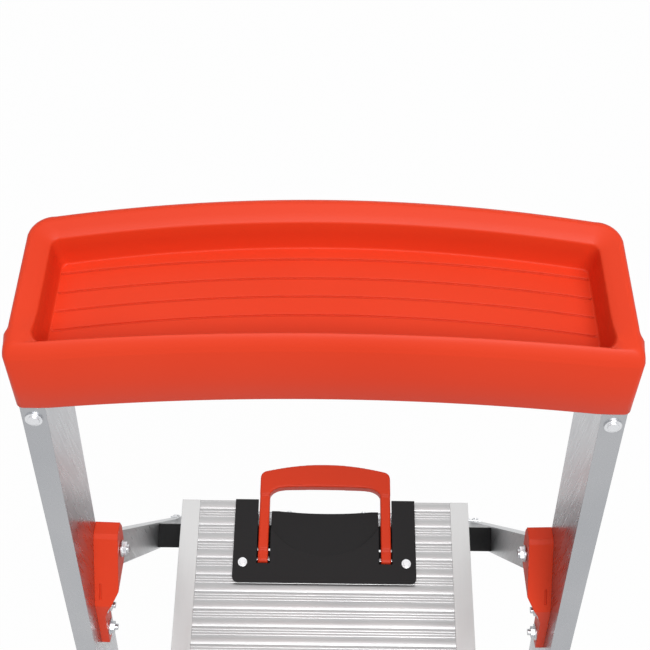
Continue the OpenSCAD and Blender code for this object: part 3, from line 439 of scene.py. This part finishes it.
# ---- Rear frame ----
# Two lighter extruded aluminium channels behind the front frame. Two cross braces and two diagonal
# straps join them on their rear faces, all riveted.
rear_finish = new_finish("bar_aluminium", (0.46, 0.47, 0.48), 0.28, 1.0)
rear_lines = grain(rear_finish, 90, (6, 6, 0.12), 4.0)
vary(rear_finish, rear_lines, "Roughness", 0.27, 0.42)
relief(rear_finish, rear_lines, 0.00001, 0.0006)
wear(rear_finish, "rear_rail_left", "rear_rail_right", "rear_brace_upper", "rear_brace_lower",
     "rear_diagonal_left", "rear_diagonal_right")

# ---- Dark nylon pieces ----
# Moulded nylon: bushes in the heads of the rear rails, spacers on the deck's rod, and saddles on
# the crossbar that carry the deck's side bars.
nylon = new_finish("dark_nylon", (0.03, 0.03, 0.033), 0.45)
fine = grain(nylon, 1100)
vary(nylon, fine, "Roughness", 0.38, 0.55)
relief(nylon, fine, 0.00004, 0.0006)
wear(nylon, "hinge_bush_left", "hinge_bush_right", "rod_spacer_left", "rod_spacer_right",
     "deck_rest_pads")

# ---- Crossbar ----
# Black powder-coated aluminium box bar between the rear rails, riveted at its ends. The deck's
# hooks come down behind it.
black_paint = new_finish("black_powder_coat", (0.004, 0.004, 0.0045), 0.4, specular=0.1)
orange_peel = grain(black_paint, 500)
vary(black_paint, orange_peel, "Roughness", 0.34, 0.48)
relief(black_paint, orange_peel, 0.00008, 0.001)
wear(black_paint, "crossbar")

# ---- Deck ----
# A ribbed aluminium panel between two smooth side bars, with a rounded nosing. Each pitch of the
# panel has one broad crowned band and three fine ribs, and its back is notched for the handle.
deck_finish = new_finish("deck_aluminium", (0.62, 0.62, 0.62), 0.28, 1.0)
deck_lines = grain(deck_finish, 80, (0.12, 7, 7), 4.0)
deck_patches = grain(deck_finish, 9)
tint(deck_finish, deck_patches, (0.41, 0.41, 0.415), (0.46, 0.455, 0.455))
vary(deck_finish, deck_lines, "Roughness", 0.38, 0.48)
relief(deck_finish, deck_lines, 0.00001)
wear(deck_finish, "deck_nosing", "deck_stiffeners")


def socket(tree, name, kind, value=None):
    """Named input of a Geometry Nodes tree."""
    made = tree.interface.new_socket(name, in_out="INPUT", socket_type=kind)
    if value is not None:
        made.default_value = value


def grown(tree, name, settings):
    """Plain mesh that a Geometry Nodes tree makes with these inputs."""
    seed_mesh = bpy.data.meshes.new(name)
    seed = add_object(name, seed_mesh)
    modifier = seed.modifiers.new("grow", "NODES")
    modifier.node_group = tree
    for item in tree.interface.items_tree:
        if item.item_type == "SOCKET" and item.in_out == "INPUT" and item.name in settings:
            modifier[item.identifier] = settings[item.name]
    result = bpy.data.meshes.new_from_object(
        seed.evaluated_get(bpy.context.evaluated_depsgraph_get()))
    bpy.data.objects.remove(seed)
    return result


rib_tree = bpy.data.node_groups.new("deck_rib_rows", "GeometryNodeTree")
for name, kind, value in (
        ("Rows", "NodeSocketInt", 14), ("Pitch", "NodeSocketFloat", 0.0207),
        ("Length", "NodeSocketFloat", 0.3), ("Width", "NodeSocketFloat", 0.01),
        ("Crown", "NodeSocketFloat", 0.001), ("Start", "NodeSocketVector", (0, 0, 0)),
        ("Finish", "NodeSocketMaterial", None)):
    socket(rib_tree, name, kind, value)
rib_tree.interface.new_socket("Mesh", in_out="OUTPUT", socket_type="NodeSocketGeometry")
given = rib_tree.nodes.new("NodeGroupInput")
rows = rib_tree.nodes.new("GeometryNodeMeshLine")
step_back = rib_tree.nodes.new("ShaderNodeCombineXYZ")
minus = rib_tree.nodes.new("ShaderNodeMath")
minus.operation = "MULTIPLY"
minus.inputs[1].default_value = -1
bar = rib_tree.nodes.new("GeometryNodeMeshCylinder")
bar.inputs["Vertices"].default_value = 20
bar.inputs["Radius"].default_value = 1
half = rib_tree.nodes.new("ShaderNodeMath")
half.operation = "MULTIPLY"
half.inputs[1].default_value = 0.5
flatten = rib_tree.nodes.new("ShaderNodeCombineXYZ")
flatten.inputs["Z"].default_value = 1
lay = rib_tree.nodes.new("GeometryNodeTransform")
lay.inputs["Rotation"].default_value = (0, math.pi / 2, 0)
place = rib_tree.nodes.new("GeometryNodeInstanceOnPoints")
smooth = rib_tree.nodes.new("GeometryNodeSetShadeSmooth")
real = rib_tree.nodes.new("GeometryNodeRealizeInstances")
coat = rib_tree.nodes.new("GeometryNodeSetMaterial")
done = rib_tree.nodes.new("NodeGroupOutput")
join = rib_tree.links.new
join(given.outputs["Rows"], rows.inputs["Count"])
join(given.outputs["Start"], rows.inputs["Start Location"])
join(given.outputs["Pitch"], minus.inputs[0])
join(minus.outputs[0], step_back.inputs["Y"])
join(step_back.outputs[0], rows.inputs["Offset"])
join(given.outputs["Length"], bar.inputs["Depth"])
join(given.outputs["Width"], half.inputs[0])
join(given.outputs["Crown"], flatten.inputs["X"])
join(half.outputs[0], flatten.inputs["Y"])
join(bar.outputs["Mesh"], lay.inputs["Geometry"])
join(flatten.outputs[0], lay.inputs["Scale"])
join(rows.outputs["Mesh"], place.inputs["Points"])
join(lay.outputs["Geometry"], smooth.inputs["Geometry"])
join(smooth.outputs["Geometry"], place.inputs["Instance"])
join(place.outputs["Instances"], real.inputs["Geometry"])
join(real.outputs["Geometry"], coat.inputs["Geometry"])
join(given.outputs["Finish"], coat.inputs["Material"])
join(coat.outputs["Geometry"], done.inputs["Mesh"])

panel_low, panel_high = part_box("deck_panel")
deck_top = 0.889
deck_back = panel_high.y
skin_top = deck_top - 0.0014
skin_low = deck_top - 0.003
lip_low = deck_top - 0.0198
lip_back = panel_low.y + 0.0025
notch_half = 0.0851
notch_front = 0.0582
pitch = 0.0207
panel_half = panel_high.x
lip_half = panel_half - 0.012
bar_rows = 14
open_rows = 4
deck_mesh = bmesh.new()
outline = [
    (-panel_half, panel_low.y), (panel_half, panel_low.y), (panel_half, deck_back),
    (notch_half, deck_back), (notch_half, notch_front), (-notch_half, notch_front),
    (-notch_half, deck_back), (-panel_half, deck_back)]
for low_z, high_z, loop in (
        (skin_low, skin_top, outline),
        (lip_low, skin_low, [
            (-lip_half, panel_low.y), (lip_half, panel_low.y),
            (lip_half, lip_back), (-lip_half, lip_back)])):
    bottom = [deck_mesh.verts.new((x, y, low_z)) for x, y in loop]
    top = [deck_mesh.verts.new((x, y, high_z)) for x, y in loop]
    deck_mesh.faces.new(list(reversed(bottom)))
    deck_mesh.faces.new(top)
    for i in range(len(loop)):
        j = (i + 1) % len(loop)
        deck_mesh.faces.new((bottom[i], bottom[j], top[j], top[i]))
side_length = panel_half - notch_half
side_middle = (panel_half + notch_half) / 2
# one crowned band and three fine ribs per pitch: distance from the back, width and crown
for back, width, crown in (
        (0.0064, 0.0112, 0.0014), (0.0138, 0.0031, 0.0004),
        (0.0169, 0.0031, 0.0004), (0.0200, 0.0031, 0.0004)):
    for first, count, length, middle in (
            (0, open_rows, side_length, -side_middle), (0, open_rows, side_length, side_middle),
            (open_rows, bar_rows - open_rows, 2 * panel_half, 0)):
        if back > 0.0065 and first:
            count -= 1  # the panel ends on a crowned band
        strip = grown(rib_tree, "deck_rib_row", {
            "Rows": count, "Pitch": pitch, "Length": length, "Width": width, "Crown": crown,
            "Start": (middle, deck_back - back - first * pitch, skin_top), "Finish": deck_finish})
        deck_mesh.from_mesh(strip)
        bpy.data.meshes.remove(strip)
deck_data = bpy.data.meshes.new("deck_tread")
deck_mesh.to_mesh(deck_data)
deck_mesh.free()
deck_data.set_sharp_from_angle(angle=math.radians(40))
deck_data.materials.append(deck_finish)
deck_tread = add_object("deck_tread", deck_data)
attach(deck_tread, "deck")
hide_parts("deck_panel")

# ---- Deck side bars ----
# Smooth aluminium extrusions along both sides of the deck, with a ledge under the panel's edges.
# The deck's rod passes through them, and its hooks are riveted inside them.
side_finish = new_finish("side_bar_aluminium", (0.56, 0.56, 0.56), 0.34, 1.0)
side_lines = grain(side_finish, 80, (7, 0.12, 7), 4.0)
vary(side_finish, side_lines, "Roughness", 0.32, 0.46)
relief(side_finish, side_lines, 0.00001, 0.0008)
wear(side_finish, "deck_side_left", "deck_side_right")

# ---- Latch plate ----
# Black moulded plate riveted on the back of the deck: two slots take the handle's legs, and the
# tongue between them is dished for the fingers.
black_plastic = new_finish("black_plastic", (0.011, 0.010, 0.0105), 0.42, specular=0.2)
texture = grain(black_plastic, 1300)
vary(black_plastic, texture, "Roughness", 0.36, 0.5)
relief(black_plastic, texture, 0.00005, 0.0009)
wear(black_plastic, "latch_plate")

# ---- Flip handle ----
# Orange moulding with two legs and a bowed grip, rounded all over where a hand takes it. It turns
# on two short pins in the latch plate.
handle_mesh = bmesh.new()
handle_mesh.from_mesh(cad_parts["handle"].data)
bmesh.ops.remove_doubles(handle_mesh, verts=handle_mesh.verts, dist=1e-6)
handle_source = bpy.data.meshes.new("handle_source")
handle_mesh.to_mesh(handle_source)
handle_mesh.free()
handle_blank = add_object("handle_blank", handle_source)
remesh = handle_blank.modifiers.new("even", "REMESH")
remesh.mode = "VOXEL"
remesh.voxel_size = 0.0011
soften = handle_blank.modifiers.new("soften", "SMOOTH")
soften.factor = 0.5
soften.iterations = 9
grip_data = bpy.data.meshes.new_from_object(
    handle_blank.evaluated_get(bpy.context.evaluated_depsgraph_get()))
bpy.data.objects.remove(handle_blank)
grip_data.shade_smooth()
grip_data.materials.clear()
grip_data.materials.append(orange)
grip_skin = add_object("grip_skin", grip_data)
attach(grip_skin, "flip_handle")
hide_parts("handle")

# ---- Handle return springs ----
# Torsion springs wound from bright steel wire. Their coils sit on the pins beside each leg and
# hold the handle down.
spring = new_finish("spring_steel", (0.72, 0.73, 0.75), 0.22, 1.0)
wire = grain(spring, 800)
vary(spring, wire, "Roughness", 0.16, 0.32)
coil_tree = bpy.data.node_groups.new("spring_coil", "GeometryNodeTree")
for name, kind, value in (
        ("Turns", "NodeSocketFloat", 3.0), ("Radius", "NodeSocketFloat", 0.0033),
        ("Length", "NodeSocketFloat", 0.0018), ("Wire", "NodeSocketFloat", 0.0004),
        ("Start", "NodeSocketVector", (0, 0, 0)), ("Finish", "NodeSocketMaterial", None)):
    socket(coil_tree, name, kind, value)
coil_tree.interface.new_socket("Mesh", in_out="OUTPUT", socket_type="NodeSocketGeometry")
given = coil_tree.nodes.new("NodeGroupInput")
helix = coil_tree.nodes.new("GeometryNodeCurveSpiral")
helix.inputs["Resolution"].default_value = 28
round_wire = coil_tree.nodes.new("GeometryNodeCurvePrimitiveCircle")
round_wire.inputs["Resolution"].default_value = 8
sweep = coil_tree.nodes.new("GeometryNodeCurveToMesh")
sweep.inputs["Fill Caps"].default_value = True
lay = coil_tree.nodes.new("GeometryNodeTransform")
lay.inputs["Rotation"].default_value = (0, math.pi / 2, 0)
real = coil_tree.nodes.new("GeometryNodeRealizeInstances")
coat = coil_tree.nodes.new("GeometryNodeSetMaterial")
done = coil_tree.nodes.new("NodeGroupOutput")
join = coil_tree.links.new
join(given.outputs["Turns"], helix.inputs["Rotations"])
join(given.outputs["Radius"], helix.inputs["Start Radius"])
join(given.outputs["Radius"], helix.inputs["End Radius"])
join(given.outputs["Length"], helix.inputs["Height"])
join(given.outputs["Wire"], round_wire.inputs["Radius"])
join(helix.outputs["Curve"], sweep.inputs["Curve"])
join(round_wire.outputs["Curve"], sweep.inputs["Profile Curve"])
join(sweep.outputs["Mesh"], lay.inputs["Geometry"])
join(given.outputs["Start"], lay.inputs["Translation"])
join(lay.outputs["Geometry"], real.inputs["Geometry"])
join(real.outputs["Geometry"], coat.inputs["Geometry"])
join(given.outputs["Finish"], coat.inputs["Material"])
join(coat.outputs["Geometry"], done.inputs["Mesh"])
pin_y, pin_z = 0.068115, 0.884
coil_radius = 0.0034
wire_radius = 0.00032
for side, node_name in ((-1, "handle_spring_left"), (1, "handle_spring_right")):
    coil_mesh = bmesh.new()
    for start, turns, length in ((0.06700, 3, 0.0018), (0.08215, 1, 0.0005)):
        first = start if side > 0 else -start - length
        winding = grown(coil_tree, "winding", {
            "Turns": float(turns), "Radius": coil_radius, "Length": length, "Wire": wire_radius,
            "Start": (first, pin_y, pin_z), "Finish": spring})
        coil_mesh.from_mesh(winding)
        bpy.data.meshes.remove(winding)
    bmesh.ops.recalc_face_normals(coil_mesh, faces=coil_mesh.faces)
    coil_data = bpy.data.meshes.new(node_name + "_coil")
    coil_mesh.to_mesh(coil_data)
    coil_mesh.free()
    coil_data.shade_smooth()
    coil_data.materials.append(spring)
    coil = add_object(node_name + "_coil", coil_data)
    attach(coil, "deck")
    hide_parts(node_name)
